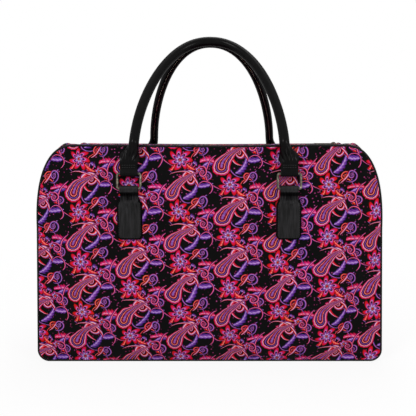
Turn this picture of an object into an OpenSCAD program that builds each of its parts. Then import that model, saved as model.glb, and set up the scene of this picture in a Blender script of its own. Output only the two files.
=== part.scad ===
// Duffle bag with piped panels, a zipped top and two rolled handles that swing on wire rings.
// The bag stands on z = 0 with its front towards -Y, and its middle is on the Z axis.

/* [Body] */
// Width across the piping just above the base
base_w = 441; // [390:1:480]
// Width across the piping just under the shoulders
upper_w = 432; // [380:1:470]
// Height of the shoulders above the ground
bag_h = 277; // [250:1:320]
// Distance between the front and the back piping
gusset_w = 196; // [160:1:230]
// How far a panel bulges out from its piping
panel_bulge = 15; // [8:0.5:22]
// How far an end bulges out from its piping
end_bulge = 8; // [0:0.5:14]
// How far the top edge sags between the shoulders
top_sag = 1; // [0:0.5:8]
// How far the top sinks between the piping and the zip
top_dip = 2; // [0:0.5:5]
// Reach of the rounded shoulder across the bag
shoulder_w = 50; // [40:1:70]
// Reach of the rounded shoulder down the bag
shoulder_h = 104; // [85:1:125]
// Radius of the bottom corners
foot_r = 15; // [11:0.5:22]
// Thickness of the padded sheet that panels and gussets are cut from
sheet_t = 2.4; // [1.8:0.1:3.2]
// Diameter of the piping
pipe_d = 3.2; // [2.8:0.1:4.8]
// Thickness of the stiff board inside the base
board_t = 2.5; // [1.5:0.1:4]

/* [Zip] */
// How far the zip runs past the start of the shoulder curve
zip_reach = 22; // [15:1:30]
// Width of the opening between the two edges of cloth beside the zip
zip_gap = 18; // [15:0.5:24]
// Width of one woven tape from its teeth to its outer edge
tape_w = 13; // [10:0.5:18]
// Thickness of the tape
tape_t = 0.8; // [0.5:0.1:1.2]
// Distance from one tooth to the next
tooth_pitch = 3.2; // [2.6:0.1:4.5]
// Height of the teeth
tooth_h = 2.4; // [1.8:0.1:3.2]
// Width of the two rows of teeth together
chain_w = 8; // [7:0.1:9]
// Length of the slider
slider_l = 15; // [12:0.5:18]
// Thickness of the slider's two plates
slider_t = 1.5; // [1:0.1:2]
// Length of the puller from its hinge bar to its tip
puller_l = 27; // [20:1:36]

/* [Tabs and rings] */
// Distance of a tab from the middle of the bag
tab_x = 97; // [80:1:115]
// Width of a sewn tab
tab_w = 31; // [28:0.5:38]
// Height of the flat, sewn part of a tab
tab_h = 52; // [40:1:65]
// Thickness of a sewn tab
tab_t = 3; // [2.4:0.1:4]
// Depth of the lower ring bar below the shoulders
ring_drop = 53; // [47:1:67]
// Width of a ring between the middles of its side bars
ring_w = 28; // [26:0.5:32]
// Height of a ring between the middles of its two bars
ring_h = 18; // [16:0.5:22]
// Diameter of the ring's wire
wire_d = 3.2; // [2.6:0.1:4]
// Radius of a ring's corners to the middle of the wire
ring_corner_r = 2.4; // [2.2:0.1:3]
// Thickness of the leather looped round the ring bars
loop_t = 2; // [1.6:0.1:2.6]

/* [Handles] */
// Diameter of the rolled handle
handle_d = 12.4; // [10:0.1:15]
// Height of the handles' middle line over the shoulders
handle_rise = 138; // [110:1:170]
// Distance between the two legs of a handle near the shoulders
handle_spread = 182.5; // [160:0.5:200]
// Thickness of the rolled leather
handle_t = 2; // [1.5:0.1:2.5]
// Height of the sewn strap above the upper ring bar
strap_h = 12; // [10:0.5:18]
// Height over which the flat strap rolls up into a tube
roll_h = 26; // [20:1:36]

/* [Hidden] */
$fn = 48;

print_colour = "#9c2c6e";
leather_colour = "#1d1b1c";
piping_colour = "#141314";
metal_colour = "#5d5850";
tape_colour = "#222024";
board_colour = "#8a7458";
core_colour = "#d8d2c4";

// Gaps that keep one piece clear of the next
seam_gap = 0.15;
rest_gap = 0.3;
running_gap = 0.05;
swing_gap = 0.6;

// Curves and steps of the body
shoulder_power = 2.4;
bulge_power = 4;
foot_lift = 0.3;
gusset_inset = pipe_d/2 - sheet_t/2;
half_gusset = gusset_w/2;
pipe_r = pipe_d/2;
pipe_sides = 8;
shoulder_x = upper_w/2 - shoulder_w;
shoulder_z = bag_h - shoulder_h;
foot_x = base_w/2 - foot_r;
foot_z = foot_lift + foot_r;
middle = [0, bag_h/2];

function lerp(a, b, f) = a + (b - a)*f;
function clamp01(f) = max(0, min(1, f));
function smooth(f) = f*f*(3 - 2*f);
function unit(v) = v/norm(v);

// Outline of a panel, as points of X and Z: base, foot, side, shoulder and sagging top edge
function shoulder_point(a) = [
    shoulder_x + shoulder_w*pow(max(cos(a), 0), 2/shoulder_power),
    shoulder_z + shoulder_h*pow(max(sin(a), 0), 2/shoulder_power)];
function sagging_z(x) = bag_h - top_sag*(1 + cos(180*x/shoulder_x))/2;
function shoulder_height(x) =
    shoulder_z + shoulder_h*pow(1 - pow((x - shoulder_x)/shoulder_w, shoulder_power), 1/shoulder_power);
function top_edge_z(x) = abs(x) <= shoulder_x ? sagging_z(x) : shoulder_height(abs(x));
function side_x(z) = lerp(base_w/2, upper_w/2, (z - foot_z)/(shoulder_z - foot_z));

base_steps = 4;
foot_steps = 5;
side_steps = 5;
shoulder_steps = 9;
top_steps = 5;
right_half = concat(
    [for (i = [0:base_steps - 1]) [foot_x*i/base_steps, foot_lift]],
    [for (i = [0:foot_steps]) [foot_x + foot_r*sin(90*i/foot_steps), foot_z - foot_r*cos(90*i/foot_steps)]],
    [for (i = [1:side_steps - 1]) let (z = lerp(foot_z, shoulder_z, i/side_steps)) [side_x(z), z]],
    [for (i = [0:shoulder_steps]) shoulder_point(90*i/shoulder_steps)],
    [for (i = [1:top_steps]) let (x = shoulder_x*(1 - i/top_steps)) [x, top_edge_z(x)]]);
outline = concat(right_half,
    [for (i = [len(right_half) - 2:-1:1]) [-right_half[i][0], right_half[i][1]]]);
outline_n = len(outline);

function outline_normal(i) =
    let (t = unit(outline[(i + 1) % outline_n] - outline[(i + outline_n - 1) % outline_n])) [t[1], -t[0]];
function inset_outline(d) = [for (i = [0:outline_n - 1]) outline[i] - d*outline_normal(i)];

// Outer face of the front panel: full in the middle and falling to the piping at its edge
panel_edge = inset_outline(pipe_d + seam_gap);
function cross2(a, b) = a[0]*b[1] - a[1]*b[0];
function edge_share(p) = max([for (i = [0:outline_n - 1])
    let (a = panel_edge[i] - middle, b = panel_edge[(i + 1) % outline_n] - middle, q = p - middle)
    let (u = cross2(q, b)/cross2(a, b), v = cross2(a, q)/cross2(a, b))
    (u >= -1e-6 && v >= -1e-6) ? u + v : 0]);
function fullness(k) = panel_bulge*(1 - pow(min(k, 1), bulge_power));
function panel_y(x, z) = -(half_gusset + fullness(edge_share([x, z])) + sheet_t/2);

// Zip line along the top
zip_end = shoulder_x + zip_reach;
zip_z = bag_h - top_sag;
gusset_y = half_gusset - pipe_r - seam_gap;
sewn_margin = 1;
tape_margin = 2;
tape_top = zip_z - sheet_t - seam_gap;
tooth_mid_z = tape_top - tape_t/2;
tooth_slot = 0.75;
tooth_bead = 0.9;
tooth_share = 0.58;
stop_l = 3.5;
stop_h = 3;
chain_margin = 9;
chain_half = zip_end - chain_margin;
slider_x = chain_half - slider_l/2 - rest_gap;
slider_overhang = 1.6;
slider_w = chain_w + 2*slider_overhang;
lip_t = 0.6;
slider_top = tooth_mid_z + tooth_h/2 + rest_gap;
slider_bottom = tooth_mid_z - tooth_h/2 - rest_gap;
web_t = 0.8;
bail_r = 3.6;
bail_wire = 0.8;
puller_bar_r = 0.7;
puller_t = 1.6;
puller_w = 8;
puller_arm = 1.4;
puller_z = slider_top + slider_t + puller_t/2 + rest_gap;
puller_play = 1.2;
puller_window = bail_r + bail_wire + puller_play;

// Seats of the tabs, rings and handle loops on the front panel
loop_r = wire_d/2 + running_gap + loop_t;
bore_r = wire_d/2 + running_gap;
tab_side_gap = 0.4;
strap_side_gap = 1.1;
bar_straight = ring_w - 2*ring_corner_r;
tab_loop_w = bar_straight - 2*tab_side_gap;
strap_w = bar_straight - 2*strap_side_gap;
neck_h = 11;
tab_corner_r = 5;
bar_z = bag_h - ring_drop;
tab_top = bar_z - neck_h;
tab_bottom = tab_top - tab_h;
tab_back = min([for (x = [-1:1], z = [0:2])
    panel_y(tab_x + x*tab_w/2, tab_bottom + z*tab_h/2)]) - rest_gap;
bar_y = tab_back - tab_t - rest_gap;
ring_lean = 3;
upper_y = min(bar_y + ring_lean, panel_y(tab_x - strap_w/2, bar_z + 0.85*ring_h) - loop_r - swing_gap);
ring_angle = asin((upper_y - bar_y)/ring_h);
upper_z = bar_z + ring_h*cos(ring_angle);

// Middle line of the front handle: legs, rolled arch and lean towards the back handle
handle_r = handle_d/2;
roll_r = handle_r - handle_t/2;
seam_z = upper_z + strap_h;
strap_sink = 5;
arch_drop = 6;
arch_z = bag_h - arch_drop;
apex_z = bag_h + handle_rise;
crest_rise = 2;
crest_z = bag_h + crest_rise;
leg_y = -max(-upper_y - roll_r, half_gusset + pipe_r + handle_r + swing_gap);
strap_inset = 0.7;
strap_lift = leg_y - upper_y + strap_inset;
apex_y = -(handle_r + rest_gap);
arch_x_power = 0.943;
arch_z_power = 1.076;
lean_power = 1.12;
shift_h = 26;
leg_steps = 6;
arch_steps = 12;
strip_points = 9;
flat_angle = 10;
rolled_angle = 348;
strap_margin = 0.6;

function arch_angle(i) = 90*pow(i/arch_steps, 1.5);
function arch_height(i) = arch_z + (apex_z - arch_z)*pow(sin(arch_angle(i)), arch_z_power);
function arch_width(i) = handle_spread/2*pow(max(cos(arch_angle(i)), 0), arch_x_power);
function lean_y(z) = z <= crest_z ? leg_y
    : lerp(leg_y, apex_y, pow((z - crest_z)/(apex_z - crest_z), lean_power));
function leg_point(x, z) = [lerp(tab_x, x, smooth(clamp01((z - seam_z)/shift_h))), lean_y(z), z];
right_leg = concat(
    [for (i = [0:leg_steps - 1]) leg_point(handle_spread/2, lerp(seam_z - strap_sink, arch_z, i/leg_steps))],
    [for (i = [0:arch_steps]) leg_point(arch_width(i), arch_height(i))]);
handle_path = concat(right_leg,
    [for (i = [len(right_leg) - 2:-1:0]) [-right_leg[i][0], right_leg[i][1], right_leg[i][2]]]);
path_n = len(handle_path);

// How far the leather has rolled up at a height, from 0 for the flat strap to 1 for the tube
function rolled(z) = smooth(clamp01((z - seam_z)/roll_h));
function strip_angle(f) = lerp(flat_angle, rolled_angle, f);
function strip_width(f) = lerp(strap_w - strap_margin, roll_r*rolled_angle*PI/180, sqrt(f));
function strip_radius(f) = strip_width(f)/(strip_angle(f)*PI/180);
function strip_front(f) = lerp(strap_lift, roll_r, f);

// Frame of the handle at one station: along, outward and across
function path_along(i) = unit(handle_path[min(i + 1, path_n - 1)] - handle_path[max(i - 1, 0)]);
function lean_slope(z) = (lean_y(z + 0.5) - lean_y(z - 0.5));
function path_outward(i) = unit([0, -1, lean_slope(handle_path[i][2])]);
function path_across(i) = unit(cross(path_outward(i), path_along(i)));
function strip_point(i, a, r, back) =
    handle_path[i] + r*sin(a)*path_across(i) + (r*cos(a) - back)*path_outward(i);
function strip_ring(i) =
    let (f = rolled(handle_path[i][2]), r = strip_radius(f), back = r - strip_front(f), w = strip_angle(f))
    concat(
        [for (j = [0:strip_points - 1]) strip_point(i, w*(j/(strip_points - 1) - 0.5), r + handle_t/2, back)],
        [for (j = [strip_points - 1:-1:0]) strip_point(i, w*(j/(strip_points - 1) - 0.5), r - handle_t/2, back)]);

// Shell between two grids of points, with nu rows of nv points in each
module sheet(outer, inner, nu, nv) {
    m = nu*nv;
    polyhedron(concat(outer, inner), concat(
        [for (i = [0:nu - 2], j = [0:nv - 2]) [i*nv + j, i*nv + j + 1, (i + 1)*nv + j + 1, (i + 1)*nv + j]],
        [for (i = [0:nu - 2], j = [0:nv - 2])
            [m + i*nv + j, m + (i + 1)*nv + j, m + (i + 1)*nv + j + 1, m + i*nv + j + 1]],
        [for (i = [0:nu - 2]) [i*nv, (i + 1)*nv, m + (i + 1)*nv, m + i*nv]],
        [for (i = [0:nu - 2]) [(i + 1)*nv + nv - 1, i*nv + nv - 1, m + i*nv + nv - 1, m + (i + 1)*nv + nv - 1]],
        [for (j = [0:nv - 2]) [j + 1, j, m + j, m + j + 1]],
        [for (j = [0:nv - 2]) let (k = (nu - 1)*nv) [k + j, k + j + 1, m + k + j + 1, m + k + j]]));
}

// Half-turn about Z that makes a back piece from its front twin
module at_back() {
    rotate([0, 0, 180]) children();
}

// Domed panel: rings of the outline that shrink to the middle, on a front and a back face
ring_shares = [1, 0.95, 0.88, 0.79, 0.67, 0.5, 0.28];
ring_n = len(ring_shares);

function panel_point(k, i, back) =
    let (p = middle + k*(panel_edge[i] - middle))
    [p[0], -(half_gusset + fullness(k)) + (back ? sheet_t/2 : -sheet_t/2), p[1]];

module domed_panel() {
    n = outline_n;
    m = n*ring_n;
    crown = 2*m;
    front = [for (k = ring_shares, i = [0:n - 1]) panel_point(k, i, false)];
    back = [for (k = ring_shares, i = [0:n - 1]) panel_point(k, i, true)];
    tips = [for (side = [-1, 1]) [0, -(half_gusset + panel_bulge) + side*sheet_t/2, middle[1]]];
    polyhedron(concat(front, back, tips), concat(
        [for (r = [0:ring_n - 2], i = [0:n - 1])
            [r*n + i, (r + 1)*n + i, (r + 1)*n + (i + 1) % n, r*n + (i + 1) % n]],
        [for (r = [0:ring_n - 2], i = [0:n - 1])
            [m + r*n + i, m + r*n + (i + 1) % n, m + (r + 1)*n + (i + 1) % n, m + (r + 1)*n + i]],
        [for (i = [0:n - 1]) [(ring_n - 1)*n + i, crown, (ring_n - 1)*n + (i + 1) % n]],
        [for (i = [0:n - 1]) [m + (ring_n - 1)*n + i, m + (ring_n - 1)*n + (i + 1) % n, crown + 1]],
        [for (i = [0:n - 1]) [i, (i + 1) % n, m + (i + 1) % n, m + i]]));
}

module front_panel() {
    color(print_colour) domed_panel();
}

module back_panel() {
    color(print_colour) at_back() domed_panel();
}

// Welt of covered cord that runs all round the edge of a panel
module piping() {
    path = inset_outline(pipe_r);
    n = outline_n;
    s = pipe_sides;
    polyhedron(
        [for (i = [0:n - 1], j = [0:s - 1])
            let (d = pipe_r*outline_normal(i), a = 360*j/s)
            [path[i][0] + d[0]*cos(a), -half_gusset + pipe_r*sin(a), path[i][1] + d[1]*cos(a)]],
        [for (i = [0:n - 1], j = [0:s - 1])
            [i*s + j, ((i + 1) % n)*s + j, ((i + 1) % n)*s + (j + 1) % s, i*s + (j + 1) % s]]);
}

module front_piping() {
    color(piping_colour) piping();
}

module back_piping() {
    color(piping_colour) at_back() piping();
}

// Base strip: flat on the ground, turned up round both feet to the end gussets
module base_gusset() {
    steps = 2*foot_steps;
    arc = [for (i = [0:steps]) 90*i/steps];
    outer = [for (a = arc) [foot_x + (foot_r - gusset_inset)*sin(a), foot_z - foot_z*cos(a)]];
    inner = [for (a = arc)
        [foot_x + (foot_r - gusset_inset - sheet_t)*sin(a), foot_z - (foot_z - sheet_t)*cos(a)]];
    right = concat(outer, [for (i = [steps:-1:0]) inner[i]]);
    left = [for (i = [len(right) - 1:-1:0]) [-right[i][0], right[i][1]]];
    color(print_colour) translate([0, gusset_y, 0]) rotate([90, 0, 0])
        linear_extrude(2*gusset_y) polygon(concat(right, left));
}

// End strip: up the side, over the shoulder to the zip, bulged between the two pipings
end_rows = 13;
end_cols = 7;
side_share = 0.52;
shoulder_end = acos(pow(zip_reach/shoulder_w, shoulder_power/2));
end_crown = zip_z - top_edge_z(zip_end) + gusset_inset;

function end_edge(s) = s <= side_share
    ? let (z = lerp(foot_z + seam_gap, shoulder_z, s/side_share)) [side_x(z), z]
    : shoulder_point(shoulder_end*(s - side_share)/(1 - side_share));
function end_normal(s) =
    let (t = unit(end_edge(min(s + 0.01, 1)) - end_edge(max(s - 0.01, 0)))) [t[1], -t[0]];
function end_point(s, v, depth) =
    let (n = end_normal(s), swell = (1 - v*v)*end_bulge*sin(180*s), crown = (1 - v*v)*end_crown*pow(s, 3))
    let (p = end_edge(s) + n*(swell - gusset_inset - depth) + [0, crown])
    [p[0], v*gusset_y, p[1]];
function end_grid(depth) = [for (i = [0:end_rows - 1], j = [0:end_cols - 1])
    end_point(i/(end_rows - 1), 2*j/(end_cols - 1) - 1, depth)];

module end_gusset() {
    sheet(end_grid(0), end_grid(sheet_t), end_rows, end_cols);
}

module right_end_gusset() {
    color(print_colour) end_gusset();
}

module left_end_gusset() {
    color(print_colour) at_back() end_gusset();
}

// Top strip between the front piping and the zip
zip_cols = 15;
zip_rows = 6;
sewn_y = chain_w/2 + tape_w + sewn_margin;
zip_gusset_end = zip_end - rest_gap - end_normal(1)[0]*(gusset_inset + sheet_t);

function zip_row_y(j) = j == zip_rows - 1 ? zip_gap/2 : lerp(gusset_y, sewn_y, j/(zip_rows - 2));
function zip_gusset_point(u, j, depth) =
    let (x = zip_gusset_end*u, v = clamp01(j/(zip_rows - 2)))
    [x, -zip_row_y(j), lerp(top_edge_z(x) - gusset_inset, zip_z, smooth(v)) - top_dip*sin(180*v) - depth];
function zip_gusset_grid(depth) = [for (i = [0:zip_cols - 1], j = [0:zip_rows - 1])
    zip_gusset_point(2*i/(zip_cols - 1) - 1, j, depth)];

module zip_gusset() {
    sheet(zip_gusset_grid(0), zip_gusset_grid(sheet_t), zip_cols, zip_rows);
}

module front_zip_gusset() {
    color(print_colour) zip_gusset();
}

module back_zip_gusset() {
    color(print_colour) at_back() zip_gusset();
}

// Stiff board that lies loose on the base inside the bag
module base_board() {
    corner_r = 15;
    edge_gap = 6;
    w = 2*(foot_x - edge_gap);
    d = 2*(gusset_y - edge_gap);
    color(board_colour) translate([0, 0, sheet_t]) linear_extrude(board_t) {
        square([w - 2*corner_r, d], center = true);
        square([w, d - 2*corner_r], center = true);
        for (x = [-1, 1], y = [-1, 1])
            translate([x*(w/2 - corner_r), y*(d/2 - corner_r)]) circle(corner_r);
    }
}

// Woven tape that carries one row of teeth, under the edge of the cloth
module zip_tape() {
    l = 2*(zip_end - tape_margin);
    translate([-l/2, -chain_w/2 - tape_w, tape_top - tape_t]) cube([l, tape_w, tape_t]);
}

module front_zip_tape() {
    color(tape_colour) zip_tape();
}

module back_zip_tape() {
    color(tape_colour) at_back() zip_tape();
}

// One row of teeth on its bead, with a narrow slot to the other row for the slider's web
module zip_teeth() {
    count = floor(2*(chain_half - stop_l)/tooth_pitch);
    start = -count*tooth_pitch/2;
    land = tooth_pitch*tooth_share;
    offset_x = tooth_pitch*(1 - tooth_share)/4;
    outer = -chain_w/2;
    bead = outer + tooth_bead;
    comb = [for (i = [0:count - 1]) let (x = start + i*tooth_pitch + offset_x)
        each [[x, bead], [x, -tooth_slot], [x + land, -tooth_slot], [x + land, bead]]];
    translate([0, 0, tooth_mid_z - tooth_h/2]) linear_extrude(tooth_h)
        polygon(concat([[start, outer], [start, bead]], comb, [[-start, bead], [-start, outer]]));
}

module front_zip_teeth() {
    color(tape_colour) zip_teeth();
}

module back_zip_teeth() {
    color(tape_colour) at_back() zip_teeth();
}

// Metal clips on the tapes that stop the slider: a pair at one end, a bridge at the other
module zip_stops() {
    y = chain_w/2;
    color(metal_colour) translate([0, 0, tooth_mid_z - stop_h/2]) {
        for (side = [-1, 1])
            translate([chain_half + rest_gap, side > 0 ? tooth_slot : -y, 0])
                cube([stop_l, y - tooth_slot, stop_h]);
        translate([-chain_half - stop_l - rest_gap, -y, 0]) cube([stop_l, 2*y, stop_h]);
    }
}

// Slider: two plates joined by a web, lips that guide the tapes, and a bail for the puller
module slider_plate() {
    tail_taper = 1.2;
    nose_l = 3;
    nose_taper = 2.5;
    tip = slider_l/2;
    half_w = slider_w/2;
    linear_extrude(slider_t) polygon([
        [-tip, tail_taper - half_w], [tip - nose_l, -half_w], [tip, nose_taper - half_w],
        [tip, half_w - nose_taper], [tip - nose_l, half_w], [-tip, half_w - tail_taper]]);
}

module zip_slider() {
    lip_top = tape_top + rest_gap;
    lip_bottom = tape_top - tape_t - rest_gap;
    lip_l = slider_l - 5;
    lip_x = -lip_l/2 - 0.5;
    lip_y = chain_w/2 + rest_gap + lip_t/2;
    web_l = 4;
    web_x = slider_l/2 - web_l - 1;
    sink = slider_t/2;
    color(metal_colour) translate([slider_x, 0, 0]) {
        translate([0, 0, slider_top]) slider_plate();
        translate([0, 0, slider_bottom - slider_t]) slider_plate();
        for (side = [-1, 1]) {
            translate([lip_x, side*lip_y - lip_t/2, lip_top])
                cube([lip_l, lip_t, slider_top - lip_top + sink]);
            translate([lip_x, side*lip_y - lip_t/2, slider_bottom - sink])
                cube([lip_l, lip_t, lip_bottom - slider_bottom + sink]);
        }
        translate([web_x, -web_t/2, slider_bottom - sink])
            cube([web_l, web_t, slider_top - slider_bottom + 2*sink]);
        translate([0, 0, slider_top + sink]) rotate([90, 0, 0])
            rotate_extrude(angle = 180) translate([bail_r, 0]) circle(bail_wire);
    }
}

// Puller: a hinge bar under the bail, two arms round it and a rounded tab
module zip_puller() {
    tip = puller_l - puller_w/2;
    color(metal_colour) translate([slider_x, 0, puller_z]) {
        rotate([90, 0, 0]) cylinder(r = puller_bar_r, h = puller_w - puller_arm, center = true);
        translate([0, 0, -puller_t/2]) linear_extrude(puller_t) difference() {
            union() {
                translate([-tip, -puller_w/2]) square([tip + puller_bar_r, puller_w]);
                translate([-tip, 0]) circle(puller_w/2);
            }
            translate([-puller_window, -puller_w/2 + puller_arm])
                square([puller_window + 2*puller_bar_r, puller_w - 2*puller_arm]);
            translate([-tip, 0]) circle(puller_w/5);
        }
    }
}

// Leather tab: a sewn plate with round corners and a neck looped round the lower ring bar
module tab() {
    inner_x = tab_w/2 - tab_corner_r;
    neck_sink = 4;
    skin = 0.4;
    color(leather_colour) translate([tab_x, 0, 0]) difference() {
        union() {
            translate([0, tab_back, tab_bottom + tab_h/2]) rotate([90, 0, 0]) linear_extrude(tab_t) {
                square([tab_w - 2*tab_corner_r, tab_h], center = true);
                square([tab_w, tab_h - 2*tab_corner_r], center = true);
                for (x = [-1, 1], z = [-1, 1])
                    translate([x*inner_x, z*(tab_h/2 - tab_corner_r)]) circle(tab_corner_r);
            }
            translate([-tab_loop_w/2, bar_y, bar_z]) rotate([90, 0, 90]) linear_extrude(tab_loop_w) {
                circle(loop_r);
                polygon([[-0.94*loop_r, -0.34*loop_r], [0.94*loop_r, -0.34*loop_r],
                    [tab_back - bar_y - skin, -neck_h + 1], [tab_back - bar_y - skin, -neck_h - neck_sink],
                    [tab_back - tab_t - bar_y + skin, -neck_h - neck_sink],
                    [tab_back - tab_t - bar_y + skin, -neck_h + 1]]);
            }
        }
        translate([0, bar_y, bar_z]) rotate([0, 90, 0]) cylinder(r = bore_r, h = tab_w, center = true);
    }
}

module front_right_tab() {
    tab();
}

module front_left_tab() {
    mirror([1, 0, 0]) tab();
}

module back_left_tab() {
    at_back() tab();
}

module back_right_tab() {
    at_back() mirror([1, 0, 0]) tab();
}

// Wire ring: round bars with quarter-torus corners, leaning in to the panel
module ring() {
    rise = ring_h - 2*ring_corner_r;
    color(metal_colour) translate([tab_x, bar_y, bar_z]) rotate([-ring_angle, 0, 0]) {
        for (z = [0, ring_h])
            translate([0, 0, z]) rotate([0, 90, 0]) cylinder(d = wire_d, h = bar_straight, center = true);
        for (x = [-1, 1])
            translate([x*ring_w/2, 0, ring_corner_r]) cylinder(d = wire_d, h = rise);
        for (corner = [[1, 1, 0], [-1, 1, 90], [-1, -1, 180], [1, -1, 270]])
            translate([corner[0]*bar_straight/2, 0, ring_h/2 + corner[1]*rise/2]) rotate([90, 0, 0])
                rotate([0, 0, corner[2]]) rotate_extrude(angle = 90)
                    translate([ring_corner_r, 0]) circle(d = wire_d);
    }
}

module front_right_ring() {
    ring();
}

module front_left_ring() {
    mirror([1, 0, 0]) ring();
}

module back_left_ring() {
    at_back() ring();
}

module back_right_ring() {
    at_back() mirror([1, 0, 0]) ring();
}

// Leather strip: flat straps at both ends that roll up into one long tube with a butted seam
module rolled_strip() {
    s = 2*strip_points;
    last = (path_n - 1)*s;
    polyhedron([for (i = [0:path_n - 1]) each strip_ring(i)], concat(
        [for (i = [0:path_n - 2], j = [0:s - 1])
            [i*s + j, i*s + (j + 1) % s, (i + 1)*s + (j + 1) % s, (i + 1)*s + j]],
        [for (j = [0:strip_points - 2]) [j, s - 1 - j, s - 2 - j, j + 1]],
        [for (j = [0:strip_points - 2]) [last + j, last + j + 1, last + s - 2 - j, last + s - 1 - j]]));
}

// Folded strap end: both layers sewn flat above a loop round the upper ring bar
module strap_loop() {
    lay = loop_t;
    translate([tab_x, upper_y, upper_z]) difference() {
        translate([-strap_w/2, 0, 0]) rotate([90, 0, 90]) linear_extrude(strap_w) {
            circle(loop_r);
            polygon([[-0.94*loop_r, 0.34*loop_r], [-lay, strap_h/2], [-lay, strap_h],
                [lay, strap_h], [lay, strap_h/2], [0.94*loop_r, 0.34*loop_r]]);
        }
        rotate([0, 90, 0]) cylinder(r = bore_r, h = 2*strap_w, center = true);
    }
}

module handle_sleeve() {
    color(leather_colour) {
        rolled_strip();
        strap_loop();
        mirror([1, 0, 0]) strap_loop();
    }
}

module front_handle_sleeve() {
    handle_sleeve();
}

module back_handle_sleeve() {
    at_back() handle_sleeve();
}

// Filler cord that keeps the rolled leather round
core_sides = 8;
core_r = roll_r - handle_t/2 - rest_gap;
core_first = [for (i = [0:path_n - 1]) if (rolled(handle_path[i][2]) >= 1) i][0];

module handle_core() {
    s = core_sides;
    stations = [core_first:path_n - 1 - core_first];
    n = path_n - 2*core_first;
    color(core_colour) polyhedron(
        [for (i = stations, j = [0:s - 1]) strip_point(i, 360*j/s, core_r, 0)],
        concat(
            [for (i = [0:n - 2], j = [0:s - 1])
                [i*s + j, (i + 1)*s + j, (i + 1)*s + (j + 1) % s, i*s + (j + 1) % s]],
            [[for (j = [0:s - 1]) j]],
            [[for (j = [s - 1:-1:0]) (n - 1)*s + j]]));
}

module front_handle_core() {
    handle_core();
}

module back_handle_core() {
    at_back() handle_core();
}

front_panel();
back_panel();
base_gusset();
left_end_gusset();
right_end_gusset();
front_zip_gusset();
back_zip_gusset();
front_piping();
back_piping();
base_board();
front_zip_tape();
back_zip_tape();
front_zip_teeth();
back_zip_teeth();
zip_stops();
zip_slider();
zip_puller();
front_left_tab();
front_right_tab();
back_left_tab();
back_right_tab();
front_left_ring();
front_right_ring();
back_left_ring();
back_right_ring();
front_handle_sleeve();
front_handle_core();
back_handle_sleeve();
back_handle_core();
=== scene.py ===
import math

import bmesh
import bpy
import numpy as np
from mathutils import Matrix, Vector
from mathutils.bvhtree import BVHTree


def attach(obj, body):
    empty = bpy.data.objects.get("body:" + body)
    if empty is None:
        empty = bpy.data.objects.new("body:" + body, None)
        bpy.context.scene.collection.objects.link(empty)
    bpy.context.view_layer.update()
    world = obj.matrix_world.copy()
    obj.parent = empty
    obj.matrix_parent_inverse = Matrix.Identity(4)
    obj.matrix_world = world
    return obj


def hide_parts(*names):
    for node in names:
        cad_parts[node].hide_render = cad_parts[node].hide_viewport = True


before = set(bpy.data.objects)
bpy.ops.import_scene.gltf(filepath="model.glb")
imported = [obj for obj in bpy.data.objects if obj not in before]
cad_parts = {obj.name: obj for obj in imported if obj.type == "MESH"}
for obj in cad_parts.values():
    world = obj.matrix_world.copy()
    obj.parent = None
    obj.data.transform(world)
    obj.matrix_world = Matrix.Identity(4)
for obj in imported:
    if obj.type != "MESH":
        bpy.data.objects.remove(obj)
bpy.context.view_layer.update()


# Camera and studio. The picture is a plain product shot: the camera stands a little above the top edge of the
# bag and looks slightly down, under wide soft lamps, on white paper that only keeps a faint shadow.
scene = bpy.context.scene
scene.view_settings.view_transform = "Standard"
camera = bpy.data.objects.new("camera", bpy.data.cameras.new("camera"))
camera.data.lens = 50.4
camera.data.sensor_width = 36
camera.data.shift_x = -0.03
camera.location = (0.0137, -0.818, 0.2825)
camera.rotation_euler = (math.radians(90 - 6.68), 0, 0)
scene.collection.objects.link(camera)
scene.camera = camera

for lamp_name, place, size, power in (
        ("key_lamp", (-0.95, -1.4, 1.3), 0.55, 14), ("fill_lamp", (1.15, -1.25, 0.8), 0.5, 8),
        ("top_lamp", (0.1, 0.35, 1.9), 0.8, 11), ("back_lamp", (0.2, 1.7, 1.1), 0.8, 10)):
    lamp = bpy.data.objects.new(lamp_name, bpy.data.lights.new(lamp_name, "AREA"))
    lamp.data.size = size
    lamp.data.energy = power
    lamp.location = place
    lamp.rotation_euler = (Vector((0, 0, 0.16)) - Vector(place)).to_track_quat("-Z", "Y").to_euler()
    scene.collection.objects.link(lamp)


def feed(tree, node, inputs):
    for key, value in inputs.items():
        if isinstance(value, bpy.types.NodeSocket):
            tree.links.new(value, node.inputs[key])
        else:
            node.inputs[key].default_value = value


def wire(tree, kind, inputs=None, **settings):
    node = tree.nodes.new(kind if kind.startswith("NodeGroup") else "ShaderNode" + kind)
    for key, value in settings.items():
        setattr(node, key, value)
    feed(tree, node, inputs or {})
    return node


def calc(tree, operation, a, b=0.0, c=0.0):
    return wire(tree, "Math", {0: a, 1: b, 2: c}, operation=operation).outputs[0]


def new_material(name):
    material = bpy.data.materials.new(name)
    material.use_nodes = True
    return material, material.node_tree, material.node_tree.nodes["Principled BSDF"]


world = bpy.data.worlds.new("studio")
world.use_nodes = True
scene.world = world


def white_seen(tree):
    rays = wire(tree, "LightPath").outputs
    seen = calc(tree, "MAXIMUM", rays["Is Camera Ray"], rays["Is Glossy Ray"])
    return calc(tree, "MAXIMUM", seen, rays["Is Transmission Ray"])


tree = world.node_tree
ambient = 0.44
level = calc(tree, "MULTIPLY_ADD", white_seen(tree), 1 - ambient, ambient)
feed(tree, tree.nodes["Background"], {"Color": (1, 1, 1, 1), "Strength": level})

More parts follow.
